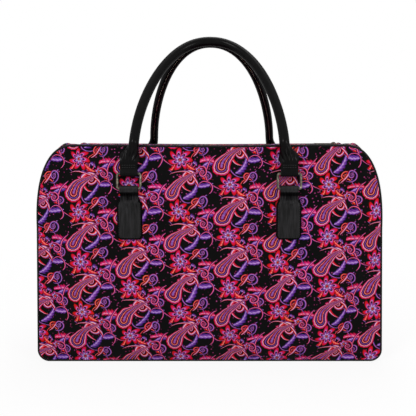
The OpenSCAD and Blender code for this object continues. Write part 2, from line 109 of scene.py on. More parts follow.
paper, tree, shader = new_material("white_paper")
feed(tree, shader, {"Base Color": (0.9, 0.9, 0.9, 1), "Roughness": 0.9, "Specular IOR Level": 0.1})
spot = wire(tree, "TexCoord").outputs["Object"]
away = wire(tree, "VectorMath", {0: spot}, operation="LENGTH").outputs["Value"]
faded = wire(tree, "MapRange", {"Value": away, "From Min": 0.25, "From Max": 0.75, "To Min": 0.9, "To Max": 1.0})
share = calc(tree, "MULTIPLY", white_seen(tree), faded.outputs[0])
glow = wire(tree, "Emission", {"Color": (1, 1, 1, 1), "Strength": 1.0})
mixed = wire(tree, "MixShader", {0: share, 1: shader.outputs[0], 2: glow.outputs[0]})
feed(tree, tree.nodes["Material Output"], {"Surface": mixed.outputs[0]})
floor_mesh = bpy.data.meshes.new("floor")
floor_mesh.from_pydata([(-6, -6, 0), (6, -6, 0), (6, 6, 0), (-6, 6, 0)], [], [(0, 1, 2, 3)])
floor_mesh.materials.append(paper)
floor = bpy.data.objects.new("floor", floor_mesh)
scene.collection.objects.link(floor)


# Printed cloth. A close plain weave with a dense print of teardrops, curls, feathers and flowers in pinks, reds
# and violets on near-black. The print is a design of its own, drawn from simple shapes on a half-drop repeat.
def colour_of(code):
    parts = [int(code[i:i + 2], 16) / 255 for i in (1, 3, 5)]
    return [p / 12.92 if p <= 0.04045 else ((p + 0.055) / 1.055) ** 2.4 for p in parts]


def ramp(tree, value, stops, blend="LINEAR"):
    node = wire(tree, "ValToRGB", {"Fac": value})
    node.color_ramp.interpolation = blend
    elements = node.color_ramp.elements
    while len(elements) < len(stops):
        elements.new(1.0)
    for element, (place, code, *alpha) in zip(elements, stops):
        element.position = place
        element.color = (*colour_of(code), *(alpha or [1]))
    return node.outputs["Color"], node.outputs["Alpha"]


def new_group(name, inputs, outputs):
    group = bpy.data.node_groups.new(name, "ShaderNodeTree")
    for direction, labels in (("INPUT", inputs), ("OUTPUT", outputs)):
        for label in labels.split():
            kind = {"Place": "Vector", "Color": "Color"}.get(label, "Float")
            group.interface.new_socket(label, in_out=direction, socket_type="NodeSocket" + kind)
    return group, wire(group, "NodeGroupInput").outputs, wire(group, "NodeGroupOutput").inputs


def past_tip(g, left, level):
    return calc(g, "MULTIPLY_ADD", calc(g, "LESS_THAN", left, 0.002), 9.0, level)


def teardrop_group():
    g, given, made = new_group("teardrop", "X Y Bend Length Scallop", "Level")
    up = calc(g, "MAXIMUM", given["Y"], 0.0)
    down = calc(g, "MINIMUM", given["Y"], 0.0)
    bend = calc(g, "MULTIPLY", calc(g, "MULTIPLY", up, up), given["Bend"])
    x = calc(g, "SUBTRACT", given["X"], bend)
    rest = calc(g, "MAXIMUM", calc(g, "SUBTRACT", 1.0, calc(g, "DIVIDE", up, given["Length"])), 0.000001)
    width = calc(g, "POWER", rest, 0.72)
    wide = calc(g, "SQRT", calc(g, "MULTIPLY_ADD", x, x, calc(g, "MULTIPLY", down, down)))
    turn = calc(g, "ARCTAN2", x, calc(g, "MULTIPLY_ADD", up, -0.6, given["Y"]))
    lobe = calc(g, "ABSOLUTE", calc(g, "SINE", calc(g, "MULTIPLY", turn, 7.0)))
    level = calc(g, "DIVIDE", wide, width)
    level = calc(g, "MULTIPLY_ADD", lobe, given["Scallop"], level)
    g.links.new(past_tip(g, rest, level), made["Level"])
    return g


def radius(g, given):
    x, y = given["X"], given["Y"]
    return calc(g, "SQRT", calc(g, "MULTIPLY_ADD", x, x, calc(g, "MULTIPLY", y, y)))


def curl_group():
    g, given, made = new_group("curl", "X Y Turn Growth", "Level")
    r = radius(g, given)
    a = calc(g, "DIVIDE", calc(g, "ARCTAN2", given["Y"], given["X"]), 2 * math.pi)
    s = calc(g, "MULTIPLY_ADD", a, given["Turn"], calc(g, "LOGARITHM", calc(g, "MAXIMUM", r, 0.001), given["Growth"]))
    across = calc(g, "MULTIPLY", calc(g, "SUBTRACT", calc(g, "FRACT", s), 0.5), 1.35)
    taper = calc(g, "MAXIMUM", calc(g, "MULTIPLY", calc(g, "SUBTRACT", 1.0, r), 2.2), 0.000001)
    level = calc(g, "DIVIDE", across, calc(g, "MINIMUM", taper, 1.0))
    g.links.new(past_tip(g, taper, calc(g, "ADD", level, 0.5)), made["Level"])
    return g


def arc_group():
    g, given, made = new_group("arc", "X Y Sweep Thick", "Level")
    share = calc(g, "DIVIDE", calc(g, "ARCTAN2", given["X"], given["Y"]), given["Sweep"])
    left = calc(g, "MAXIMUM", calc(g, "MULTIPLY_ADD", share, calc(g, "MULTIPLY", share, -1.0), 1.0), 0.000000001)
    skew = calc(g, "MAXIMUM", calc(g, "MULTIPLY_ADD", share, 0.35, 0.65), 0.01)
    thick = calc(g, "MULTIPLY", calc(g, "MULTIPLY", calc(g, "SQRT", left), skew), given["Thick"])
    off = calc(g, "DIVIDE", calc(g, "SUBTRACT", radius(g, given), 1.0), thick)
    g.links.new(past_tip(g, left, calc(g, "MULTIPLY_ADD", off, 0.5, 0.5)), made["Level"])
    return g


def flower_group():
    g, given, made = new_group("flower", "X Y Petals Swirl Heart", "Level")
    r = radius(g, given)
    a = calc(g, "MULTIPLY_ADD", r, given["Swirl"], calc(g, "ARCTAN2", given["Y"], given["X"]))
    lobe = calc(g, "ABSOLUTE", calc(g, "COSINE", calc(g, "MULTIPLY", a, calc(g, "MULTIPLY", given["Petals"], 0.5))))
    reach = calc(g, "MULTIPLY_ADD", lobe, calc(g, "SUBTRACT", 1.0, given["Heart"]), given["Heart"])
    g.links.new(calc(g, "DIVIDE", r, reach), made["Level"])
    return g


def feather_group():
    g, given, made = new_group("feather", "X Y Bend Barbs", "Level")
    bow = calc(g, "MULTIPLY", calc(g, "MULTIPLY", given["Y"], given["Y"]), given["Bend"])
    crease_shade = calc(g, "SUBTRACT", given["X"], bow)
    side = calc(g, "ABSOLUTE", crease_shade)
    inside = calc(g, "MAXIMUM", calc(g, "MULTIPLY", given["Y"], calc(g, "SUBTRACT", 1.0, given["Y"])), 0.0001)
    width = calc(g, "MULTIPLY", calc(g, "SQRT", inside), calc(g, "MULTIPLY_ADD", calc(g, "SIGN", crease_shade), 0.16, 0.42))
    share = calc(g, "DIVIDE", side, width)
    step = calc(g, "MULTIPLY", calc(g, "MULTIPLY_ADD", side, -1.1, given["Y"]), given["Barbs"])
    barb = calc(g, "FRACT", step)
    level = calc(g, "MULTIPLY_ADD", barb, calc(g, "MULTIPLY", share, 0.9), calc(g, "POWER", share, 2.5))
    g.links.new(past_tip(g, inside, level), made["Level"])
    return g


shapes = {"teardrop": teardrop_group(), "curl": curl_group(), "arc": arc_group(), "flower": flower_group(),
          "feather": feather_group()}

ground = "#0b090c"
edge_in = [(0.0, ground, 0), (0.03, ground), (0.08, ground)]
edge_out = [(0.92, ground), (0.97, ground), (1.0, ground, 0)]
rim = [(0.88, ground), (0.97, ground), (1.0, ground, 0)]
inks = {
    "drop": [(0.0, "#7246a2"), (0.08, "#bf98d6"), (0.12, "#522c78"), (0.17, "#e0559a"), (0.21, ground),
        (0.28, ground), (0.30, "#e23a50"), (0.37, "#f4b8ac"), (0.40, "#c82a5c"), (0.45, ground), (0.51, ground),
        (0.53, "#ae80cc"), (0.60, "#74429c"), (0.63, ground), (0.67, ground), (0.69, "#de2c40"), (0.76, "#f7d2cc"),
        (0.79, "#bc86cc"), (0.86, "#e0357a"), (0.93, "#d8283a"), (0.96, ground), (0.99, ground), (1.0, ground, 0)],
    "scroll": edge_in + [(0.12, "#c81f34"), (0.26, "#ea3c4e"), (0.30, "#e0478c"), (0.42, "#f2a09a"),
        (0.50, "#fbe8e2"), (0.56, "#cda2d8"), (0.70, "#935cb4"), (0.74, "#4c1a46"), (0.78, "#d02a5c"),
        (0.88, "#a01438")] + edge_out,
    "tendril": edge_in + [(0.14, "#50307c"), (0.34, "#8250aa"), (0.46, "#ceb0e0"), (0.56, "#aa78c4"),
        (0.72, "#c03a86"), (0.86, "#6a1a58")] + edge_out,
    "rosy": edge_in + [(0.14, "#981848"), (0.32, "#e0387c"), (0.46, "#f6b4cc"), (0.58, "#e2589c"), (0.66, "#844aa2"),
        (0.84, "#562e7c")] + edge_out,
    "flame": edge_in + [(0.14, "#b01a2c"), (0.36, "#e23a44"), (0.48, "#f6b4a4"), (0.60, "#ec4a6a"), (0.84, "#8c1440")]
        + edge_out,
    "violet": [(0.0, "#d0b2e0"), (0.12, "#9864ba"), (0.46, "#74449c"), (0.72, "#4c2a70"), (0.82, "#241040")] + rim,
    "rose": [(0.0, "#f2a8c6"), (0.12, "#e04a90"), (0.44, "#cc2868"), (0.74, "#861644")] + rim,
    "ember": [(0.0, "#f6aca0"), (0.14, "#e2404a"), (0.50, "#dc2644"), (0.76, "#8c1030")] + rim,
    "bloom": [(0.0, "#d0503a"), (0.07, "#dc3c3c"), (0.12, "#8a1420"), (0.14, ground), (0.18, ground),
        (0.20, "#f0d4ee"), (0.30, "#c08cd0"), (0.42, "#824ea6"), (0.45, ground), (0.53, ground), (0.55, "#f4a8c4"),
        (0.62, "#b070d0"), (0.68, "#e23c76"), (0.86, "#d8283c"), (0.92, "#7c1030"), (0.96, ground), (1.0, ground, 0)],
    "bud": [(0.0, "#e66a58"), (0.18, "#d8382e"), (0.25, ground), (0.34, ground), (0.37, "#e6cbf0"), (0.56, "#a26cbe"),
        (0.66, "#d83a80"), (0.86, "#7c1c58")] + rim[1:],
}

# Each row: shape, ink, place in millimetres, turn in degrees, size in millimetres, the shape group's other inputs
main_motif = [
    ("feather", "violet", (-12, -17), 118, 25, (0.55, 6.0)),
    ("feather", "violet", (13, -3), -66, 24, (-0.5, 6.0)),
    ("feather", "rose", (-10, 9), 66, 22, (-0.5, 6.0)),
    ("feather", "ember", (1, -24), 168, 14, (0.5, 5.0)),
    ("feather", "ember", (15, -24), -148, 15, (-0.5, 5.0)),
    ("feather", "violet", (10, 29), -30, 14, (0.6, 5.0)),
    ("arc", "tendril", (-13, 21), 60, 13, (2.0, 0.13)),
    ("curl", "tendril", (-26, 25), 40, 9, (1.0, 2.6)),
    ("arc", "tendril", (20, 4), 150, 12, (1.6, 0.13)),
    ("arc", "rosy", (3, -3), 105, 23, (1.3, 0.09)),
    ("arc", "rosy", (-22, -22), -30, 9, (2.1, 0.18)),
    ("curl", "rosy", (-25, -3), -20, 9, (-1.0, 2.7)),
    ("curl", "flame", (27, -8), 160, 7, (1.0, 2.7)),
    ("curl", "scroll", (20, 21), 100, 15, (-1.0, 2.9)),
    ("arc", "scroll", (8, 5), -58, 25, (1.55, 0.12)),
    ("teardrop", "drop", (-2, 4), -10, 11.5, (0.34, 2.7, 0.04)),
    ("flower", "bloom", (7, -18), 14, 15.5, (7.0, 0.5, 0.36)),
]
filler_motif = [
    ("feather", "violet", (4, 4), -50, 20, (0.5, 6.0)),
    ("feather", "rose", (-4, -4), 130, 20, (0.5, 6.0)),
    ("feather", "ember", (4, -5), -140, 13, (-0.5, 5.0)),
    ("feather", "violet", (-4, 5), 40, 13, (-0.5, 5.0)),
    ("arc", "flame", (-3, 12), 20, 9, (1.8, 0.16)),
    ("arc", "tendril", (5, -12), 200, 9, (1.8, 0.16)),
    ("curl", "rosy", (-13, 7), 200, 8, (-1.0, 2.7)),
    ("curl", "tendril", (13, -7), 30, 8, (-1.0, 2.7)),
    ("flower", "bud", (0, 0), 20, 7.5, (5.0, 0.0, 0.45)),
]


def print_group():
    g, given, made = new_group("scroll_print", "Place", "Color")
    cell_w, cell_h = 61.0, 63.0
    sway = wire(g, "TexNoise", {"Vector": given["Place"], "Scale": 0.03, "Detail": 1.0})
    sway = wire(g, "VectorMath", {0: sway.outputs["Color"], 1: (0.5, 0.5, 0.5)}, operation="SUBTRACT")
    sway = wire(g, "VectorMath", {0: sway.outputs[0], "Scale": 9.0}, operation="SCALE")
    place = wire(g, "VectorMath", {0: given["Place"], 1: sway.outputs[0]}, operation="ADD")
    split = wire(g, "SeparateXYZ", {0: place.outputs[0]})
    specks = wire(g, "TexVoronoi", {"Vector": place.outputs[0], "Scale": 0.24, "Randomness": 0.8})
    colour, _ = ramp(g, specks.outputs["Distance"], [(0.0, "#d99ac4"), (0.16, "#a03a78"), (0.24, "#3a1030"),
                                                      (0.28, ground)])
    for motif, shift in ((filler_motif, 0.5), (main_motif, 0.0)):
        x = calc(g, "ADD", split.outputs["X"], shift * cell_w)
        column = calc(g, "FLOOR", calc(g, "DIVIDE", x, cell_w))
        odd = calc(g, "FLOORED_MODULO", column, 2.0)
        y = calc(g, "MULTIPLY_ADD", odd, 0.5 * cell_h, calc(g, "ADD", split.outputs["Y"], 0.25 * cell_h))
        row = calc(g, "FLOOR", calc(g, "DIVIDE", y, cell_h))
        local_x = calc(g, "MULTIPLY_ADD", calc(g, "ADD", column, 0.5), -cell_w, x)
        local_y = calc(g, "MULTIPLY_ADD", calc(g, "ADD", row, 0.5), -cell_h, y)
        spot = wire(g, "CombineXYZ", {0: local_x, 1: local_y}).outputs[0]
        for shape, ink_name, at, turn, size, settings in motif:
            c, s = math.cos(math.radians(turn)) / size, math.sin(math.radians(turn)) / size
            moved = wire(g, "VectorMath", {0: spot, 1: (*at, 0)}, operation="SUBTRACT").outputs[0]
            across = wire(g, "VectorMath", {0: moved, 1: (c, s, 0)}, operation="DOT_PRODUCT")
            along = wire(g, "VectorMath", {0: moved, 1: (-s, c, 0)}, operation="DOT_PRODUCT")
            given_here = (across.outputs["Value"], along.outputs["Value"], *settings)
            drawn = wire(g, "Group", dict(enumerate(given_here)), node_tree=shapes[shape])
            tint, cover = ramp(g, drawn.outputs[0], inks[ink_name])
            colour = wire(g, "Mix", {0: cover, 6: colour, 7: tint}, data_type="RGBA").outputs[2]
    drift = wire(g, "TexNoise", {"Vector": given["Place"], "Scale": 0.018, "Detail": 0.0})
    hue = calc(g, "MULTIPLY_ADD", drift.outputs["Fac"], 0.06, 0.47)
    toned = wire(g, "HueSaturation", {"Color": colour, "Hue": hue})
    deeper = wire(g, "Gamma", {"Color": toned.outputs[0], "Gamma": 1.5})
    g.links.new(deeper.outputs[0], made["Color"])
    return g


def weave_group():
    g, given, made = new_group("plain_weave", "Place Pitch", "Height Shade")
    turned = wire(g, "VectorMath", {0: given["Place"], "Scale": calc(g, "DIVIDE", math.pi, given["Pitch"])},
                  operation="SCALE")
    split = wire(g, "SeparateXYZ", {0: turned.outputs[0]})
    warp = calc(g, "SINE", split.outputs["X"])
    weft = calc(g, "SINE", split.outputs["Y"])
    height = calc(g, "MULTIPLY_ADD", calc(g, "MULTIPLY", warp, weft), 0.5, 0.5)
    slub = wire(g, "TexNoise", {"Vector": given["Place"], "Scale": 0.7, "Detail": 3.0}).outputs["Fac"]
    g.links.new(calc(g, "MULTIPLY_ADD", slub, 0.6, height), made["Height"])
    g.links.new(calc(g, "MULTIPLY_ADD", height, 0.14, 0.86), made["Shade"])
    return g


scroll_print, plain_weave = print_group(), weave_group()
printed_cloth, tree, shader = new_material("printed_cloth")
place = wire(tree, "UVMap", uv_map="cloth").outputs[0]
drawn = wire(tree, "Group", {"Place": place}, node_tree=scroll_print)
woven = wire(tree, "Group", {"Place": place, "Pitch": 0.55}, node_tree=plain_weave).outputs
shaded = wire(tree, "VectorMath", {0: drawn.outputs["Color"], "Scale": woven["Shade"]}, operation="SCALE")
relief = wire(tree, "Bump", {"Height": woven["Height"], "Strength": 0.25, "Distance": 0.0001})
feed(tree, shader, {"Base Color": shaded.outputs[0], "Normal": relief.outputs[0], "Roughness": 0.85,
                    "Specular IOR Level": 0.1})


# Front and back panels. Padded cloth cut to a wide shape with round shoulders, sewn to the gusset with piping in
# the seam, so the edge is held, the middle stands full and small puckers run in from the seam. The cloth is cut a
# little large and settles by simulation, held at the seam, in the middle and behind the tabs and rings.
def add_piece(name, points, faces, material, body, stands_for=(), uv=None, crease=35):
    mesh = bpy.data.meshes.new(name)
    mesh.from_pydata((np.asarray(points, float) * 0.001).tolist(), [], [tuple(map(int, f)) for f in faces])
    if uv is not None:
        corner = np.empty(len(mesh.loops), np.int32)
        mesh.loops.foreach_get("vertex_index", corner)
        mesh.uv_layers.new(name="cloth").data.foreach_set("uv", np.asarray(uv, float)[corner].ravel())
    work = bmesh.new()
    work.from_mesh(mesh)
    bmesh.ops.recalc_face_normals(work, faces=work.faces)
    work.to_mesh(mesh)
    work.free()
    mesh.shade_smooth()
    mesh.set_sharp_from_angle(angle=math.radians(crease))
    mesh.materials.append(material)
    piece = bpy.data.objects.new(name, mesh)
    scene.collection.objects.link(piece)
    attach(piece, body)
    if stands_for:
        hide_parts(*stands_for)
    return piece


def shell(outer, inner):
    rows, cols = outer.shape[:2]
    at = np.arange(rows * cols).reshape(rows, cols)
    under = at + rows * cols
    faces = []
    for i in range(rows - 1):
        for j in range(cols - 1):
            faces.append((at[i, j], at[i, j + 1], at[i + 1, j + 1], at[i + 1, j]))
            faces.append((under[i, j], under[i + 1, j], under[i + 1, j + 1], under[i, j + 1]))
    rim = np.concatenate([at[0, :-1], at[:-1, -1], at[-1, :0:-1], at[:0:-1, 0]])
    for a, b in zip(rim, np.roll(rim, -1)):
        faces.append((b, a, a + rows * cols, b + rows * cols))
    return np.concatenate([outer.reshape(-1, 3), inner.reshape(-1, 3)]), faces


def half_turn(points):
    return np.asarray(points, float) * (-1, -1, 1)


def unit(vectors):
    return vectors / np.linalg.norm(vectors, axis=1)[:, None]


def run_length(points):
    return np.concatenate([[0], np.cumsum(np.linalg.norm(np.diff(points, axis=0), axis=1))])


base_w, upper_w, bag_h, gusset_w = 441.0, 432.0, 277.0, 196.0
panel_bulge, top_sag, shoulder_w, shoulder_h, foot_r, sheet_t, pipe_d = 15.0, 1.0, 50.0, 104.0, 15.0, 2.4, 3.2
foot_lift, tab_x = 0.3, 97.0
shoulder_x, shoulder_z = upper_w / 2 - shoulder_w, bag_h - shoulder_h
foot_x, foot_z = base_w / 2 - foot_r, foot_lift + foot_r


def shoulder_point(a):
    return np.stack([shoulder_x + shoulder_w * np.maximum(np.cos(a), 0) ** (2 / 2.4),
                     shoulder_z + shoulder_h * np.maximum(np.sin(a), 0) ** (2 / 2.4)], -1)


def side_x(z):
    return base_w / 2 + (upper_w - base_w) / 2 * (z - foot_z) / (shoulder_z - foot_z)


def top_edge(x):
    x = np.abs(x)
    over = np.clip((x - shoulder_x) / shoulder_w, 0, 1)
    round_z = shoulder_z + shoulder_h * (1 - over ** 2.4) ** (1 / 2.4)
    return np.where(x <= shoulder_x, bag_h - top_sag * (1 + np.cos(np.pi * x / shoulder_x)) / 2, round_z)


quarter = np.linspace(0, np.pi / 2, 13)
side_z = np.linspace(foot_z, shoulder_z, 40)[1:-1]
top_x = np.linspace(shoulder_x, 0, 40)[1:]
right_half = np.concatenate([
    np.stack([np.linspace(0, foot_x, 46)[:-1], np.full(45, foot_lift)], -1),
    np.stack([foot_x + foot_r * np.sin(quarter), foot_z - foot_r * np.cos(quarter)], -1),
    np.stack([side_x(side_z), side_z], -1),
    shoulder_point(np.linspace(0, np.pi / 2, 48)),
    np.stack([top_x, top_edge(top_x)], -1)])
outline = np.concatenate([right_half, right_half[-2:0:-1] * (-1, 1)])
along = unit(np.roll(outline, -1, 0) - np.roll(outline, 1, 0))
outward = np.stack([along[:, 1], -along[:, 0]], -1)
length_at = run_length(outline)

middle = np.array([0, bag_h / 2])
edge = outline - (pipe_d - 0.35) * outward
spread = np.exp(-0.5 * (np.arange(-40, 41) / 16) ** 2)
rounder = np.stack([np.convolve(np.concatenate([edge[-40:, i], edge[:, i], edge[:40, i]]), spread / spread.sum(),
                                "valid") for i in (0, 1)], -1)


def soft_noise(s, period, count, seed):
    draw = np.random.default_rng(seed)
    waves = [draw.normal() * np.sin(2 * np.pi * (k * s / period + draw.random())) for k in range(1, count)]
    return sum(waves) / count ** 0.5


def panel_grid(seed):
    shares = np.concatenate([1 - 0.3 * np.linspace(0, 1, 26) ** 1.4, np.linspace(0.66, 0.03, 20)])
    period = length_at[-1] + np.linalg.norm(outline[0] - outline[-1])
    ripple = np.sin(2 * np.pi * length_at / 17 + 2.2 * soft_noise(length_at, period, 9, seed))
    ripple *= 0.35 + 0.5 * np.abs(soft_noise(length_at, period, 12, seed + 1))
    rows = []
    for k in shares:
        flat = middle + k * (rounder + (edge - rounder) * k ** 5 - middle)
        reach = np.linalg.norm(edge - middle, axis=1) * (1 - k)
        full = panel_bulge * (1 - k ** 4) + 0.4 * ripple * (reach / 7) * np.exp(1 - reach / 7)
        full = full + 0.5 * np.sin(flat[:, 0] / 47 + seed) * np.sin(flat[:, 1] / 38 + seed) * (1 - k ** 6)
        rows.append(np.stack([flat[:, 0], -(gusset_w / 2 + full + sheet_t / 2 + 0.5 * k ** 8), flat[:, 1]], -1))
    return np.array(rows)


def settled(grid):
    rows, cols = grid.shape[:2]
    faces = [(i * cols + j, i * cols + (j + 1) % cols, (i + 1) * cols + (j + 1) % cols, (i + 1) * cols + j)
             for i in range(rows - 1) for j in range(cols)]
    mesh = bpy.data.meshes.new("slack_cloth")
    mesh.from_pydata((grid.reshape(-1, 3) * 0.001).tolist(), [], faces)
    slack = bpy.data.objects.new("slack_cloth", mesh)
    scene.collection.objects.link(slack)
    held_half, held_low, held_high, held_row = 18, 157, 262, 36
    sewn = (np.abs(np.abs(grid[..., 0]) - tab_x) < held_half) & (grid[..., 2] > held_low) & (grid[..., 2] < held_high)
    sewn[0] = True
    sewn[held_row:] = True
    slack.vertex_groups.new(name="sewn").add(np.flatnonzero(sewn).tolist(), 1.0, "REPLACE")
    cloth = slack.modifiers.new("settle", "CLOTH")
    for setting, value in (("quality", 5), ("mass", 0.4), ("tension_stiffness", 30), ("compression_stiffness", 30),
                           ("shear_stiffness", 12), ("bending_stiffness", 12), ("shrink_min", -0.025),
                           ("vertex_group_mass", "sewn")):
        setattr(cloth.settings, setting, value)
    cloth.settings.effector_weights.gravity = 0.1
    cloth.collision_settings.use_collision = False
    last_frame, most_shift = 18, 3
    cloth.point_cache.frame_end = last_frame
    for moment in range(1, last_frame + 1):
        scene.frame_set(moment)
    shown = slack.evaluated_get(bpy.context.evaluated_depsgraph_get()).to_mesh()
    moved = np.empty(rows * cols * 3)
    shown.vertices.foreach_get("co", moved)
    shift = moved.reshape(rows, cols, 3) * 1000 - grid
    far = np.linalg.norm(shift, axis=2, keepdims=True)
    bpy.data.objects.remove(slack)
    bpy.data.meshes.remove(mesh)
    scene.frame_set(1)
    return grid + shift * np.minimum(1, most_shift / np.maximum(far, 1e-9))


def panel_shell(grid):
    rows, cols = grid.shape[:2]
    count = rows * cols
    centre = grid[-1].mean(0)
    points = np.concatenate([grid.reshape(-1, 3), (grid + (0, sheet_t, 0)).reshape(-1, 3),
                             [centre, centre + (0, sheet_t, 0)]])
    faces = []
    for i in range(rows - 1):
        for j in range(cols):
            n = (j + 1) % cols
            a, b, c, d = i * cols + j, i * cols + n, (i + 1) * cols + n, (i + 1) * cols + j
            faces.append((a, d, c, b))
            faces.append((a + count, b + count, c + count, d + count))
    last = (rows - 1) * cols
    for j in range(cols):
        n = (j + 1) % cols
        faces.append((last + j, 2 * count, last + n))
        faces.append((last + j + count, last + n + count, 2 * count + 1))
        faces.append((j, n, n + count, j + count))
    return points, faces


panel_points, panel_faces = panel_shell(settled(panel_grid(3)))
add_piece("front_panel_cloth", panel_points, panel_faces, printed_cloth, "bag",
          ["front_panel"], panel_points[:, (0, 2)] + (13, 22))
back_points, _ = panel_shell(settled(panel_grid(11)))
add_piece("back_panel_cloth", half_turn(back_points), panel_faces, printed_cloth, "bag",
          ["back_panel"], back_points[:, (0, 2)] + (631, 405))


# Gusset. Five strips of the same cloth close the bag between the panels: the base turned up at both feet, an end
# strip up each side and over the shoulder, and two top strips along the zip with a turned, topstitched edge.
gusset_inset, gusset_y = pipe_d / 2 - sheet_t / 2, gusset_w / 2 - pipe_d / 2 - 0.05
sewn_y, zip_end, zip_z, zip_gap, end_bulge = 18.0, 188.0, bag_h - top_sag, 18.0, 8.0


def smooth(f):
    f = np.clip(f, 0, 1)
    return f * f * (3 - 2 * f)


def end_edge(s):
    z = foot_z + 0.15 + (shoulder_z - foot_z - 0.15) * np.clip(s / 0.52, 0, 1)
    last = np.arccos((22 / shoulder_w) ** 1.2)
    bow = shoulder_point(last * np.clip((s - 0.52) / 0.48, 0, 1))
    return np.where((s <= 0.52)[:, None], np.stack([side_x(z), z], -1), bow)


s = np.linspace(0, 1, 90)
v = np.linspace(-1, 1, 44)
line = end_edge(s)
step = unit(end_edge(np.minimum(s + 0.01, 1)) - end_edge(np.maximum(s - 0.01, 0)))
normal = np.stack([step[:, 1], -step[:, 0]], -1)
end_crown = zip_z - float(top_edge(np.array(zip_end))) + gusset_inset
strip_at = run_length(line)


def zip_hump(x, across):
    return 4.5 * np.exp(-((np.abs(x) - 183) / 15) ** 2) * np.sin(np.pi * across)


def end_grid(depth, seed):
    room = 1 - v[None, :] ** 2
    pucker = np.sin(2 * np.pi * strip_at[:, None] / 16 + 2 * soft_noise(strip_at, 400, 8, seed)[:, None])
    pucker = 0.5 * pucker * np.exp(-((1 - np.abs(v[None, :])) / 0.12 - 1) ** 2)
    swell = room * end_bulge * np.sin(np.pi * s)[:, None] + pucker * np.sin(np.pi * s)[:, None] ** 0.5
    swell = swell + 0.7 * room * np.sin(strip_at[:, None] / 31 + seed + 1.5 * v[None, :])
    swell = swell * smooth(s / 0.03)[:, None] * (1 - smooth((s - 0.86) / 0.1))[:, None]
    swell = swell + room * end_bulge * (np.sin(np.pi * s) * smooth((s - 0.86) / 0.1))[:, None]
    x = line[:, :1] + normal[:, :1] * (swell - gusset_inset - depth)
    z = line[:, 1:] + normal[:, 1:] * (swell - gusset_inset - depth) + room * end_crown * (s ** 3)[:, None]
    z = z + zip_hump(x, np.clip((gusset_y - np.abs(v) * gusset_y) / (gusset_y - sewn_y), 0, 1)[None, :])
    return np.stack([x, np.broadcast_to(v * gusset_y, x.shape), z], -1)


end_uv = np.stack(np.broadcast_arrays(v[None, :] * gusset_y, strip_at[:, None]), -1).reshape(-1, 2)
for side, seed in (("right", 5), ("left", 8)):
    points, faces = shell(end_grid(0, seed), end_grid(sheet_t, seed))
    points = points if side == "right" else half_turn(points)
    add_piece(side + "_end_cloth", points, faces, printed_cloth, "bag",
              [side + "_end_gusset"], np.concatenate([end_uv, end_uv]) + (seed * 31, 12))

zip_half = zip_end - 0.3 - normal[-1, 0] * (gusset_inset + sheet_t)
u = np.linspace(-1, 1, 150)
row_y = np.concatenate([np.linspace(gusset_y, sewn_y, 34), np.linspace(sewn_y, zip_gap / 2, 6)[1:]])
row_v = np.concatenate([np.linspace(0, 1, 34), np.ones(5)])


def zip_grid(depth, seed):
    x = u[:, None] * zip_half + 0 * row_y[None, :]
    low = top_edge(x) - gusset_inset
    sag = 2.0 * np.sin(np.pi * row_v)[None, :] - zip_hump(x, row_v[None, :])
    sag = sag + 0.45 * np.sin(np.pi * row_v)[None, :] * np.sin(x / 23 + seed + 2 * row_v[None, :])
    pucker = np.sin(2 * np.pi * x / 15 + seed) * np.exp(-(row_v[None, :] / 0.14 - 1) ** 2) * 0.4
    pucker = pucker + np.sin(2 * np.pi * x / 11) * np.exp(-((1 - row_v[None, :]) / 0.12 - 1) ** 2) * 0.25
    z = low + (zip_z - low) * smooth(row_v)[None, :] - sag + pucker * smooth((1 - np.abs(u)) / 0.05)[:, None] - depth
    return np.stack([x, np.broadcast_to(-row_y, x.shape), z], -1)


zip_rows = {}
for side, seed in (("front", 1), ("back", 4)):
    zip_rows[side] = zip_grid(0, seed)
    points, faces = shell(zip_rows[side], zip_grid(sheet_t, seed))
    zip_uv = points[:, :2] + (90 * seed, 40)
    points = points if side == "front" else half_turn(points)
    add_piece(side + "_zip_cloth", points, faces, printed_cloth, "bag",
              [side + "_zip_gusset"], zip_uv)

turn = np.linspace(0, np.pi / 2, 14)
under_x = np.linspace(-foot_x, foot_x, 120)
base_y = np.linspace(-gusset_y, gusset_y, 40)


def base_line(depth):
    foot = np.stack([foot_x + (foot_r - gusset_inset - depth) * np.sin(turn[1:]),
                     foot_z - (foot_z - depth) * np.cos(turn[1:])], -1)
    return np.concatenate([foot[::-1] * (-1, 1), np.stack([under_x, np.full(len(under_x), depth)], -1), foot])


def base_grid(line):
    return np.stack(np.broadcast_arrays(line[:, :1], base_y, line[:, 1:]), -1)


profile = base_line(0)
points, faces = shell(base_grid(profile), base_grid(base_line(sheet_t)))
base_uv = np.stack(np.broadcast_arrays(run_length(profile)[:, None], base_y[None, :]), -1).reshape(-1, 2)
add_piece("base_cloth", points, faces, printed_cloth, "bag", ["base_gusset"],
          np.concatenate([base_uv, base_uv]))


# Piping. A cord covered with a bias strip of black leathercloth, sewn all round each panel into the seam between
# panel and gusset, so that it stands out as a thin round edge.
def grain_group():
    g, given, made = new_group("hide_grain", "Place Pores Creases", "Height Wear Tone")
    pores = wire(g, "TexVoronoi", {"Vector": given["Place"], "Scale": given["Pores"], "Randomness": 0.9})
    drawn = wire(g, "VectorMath", {0: given["Place"], 1: (1, 1, 0.08)}, operation="MULTIPLY").outputs[0]
    crease = wire(g, "TexNoise", {"Vector": drawn, "Scale": 520.0, "Detail": 3.0}).outputs["Fac"]
    wear = wire(g, "TexNoise", {"Vector": given["Place"], "Scale": 60.0, "Detail": 5.0}).outputs["Fac"]
    height = calc(g, "MULTIPLY_ADD", wear, 0.5, pores.outputs["Distance"])
    g.links.new(calc(g, "MULTIPLY_ADD", crease, given["Creases"], height), made["Height"])
    g.links.new(wear, made["Wear"])
    # painted shade and highlight: the crease noise that raises the bump also darkens the valleys and lightens the
    # ridges in Tone, on top of the random wear tone
    crease_shade = calc(g, "MULTIPLY", calc(g, "SUBTRACT", crease, 0.5), given["Creases"])
    g.links.new(calc(g, "ADD", wear, crease_shade), made["Tone"])
    return g


hide_grain = grain_group()


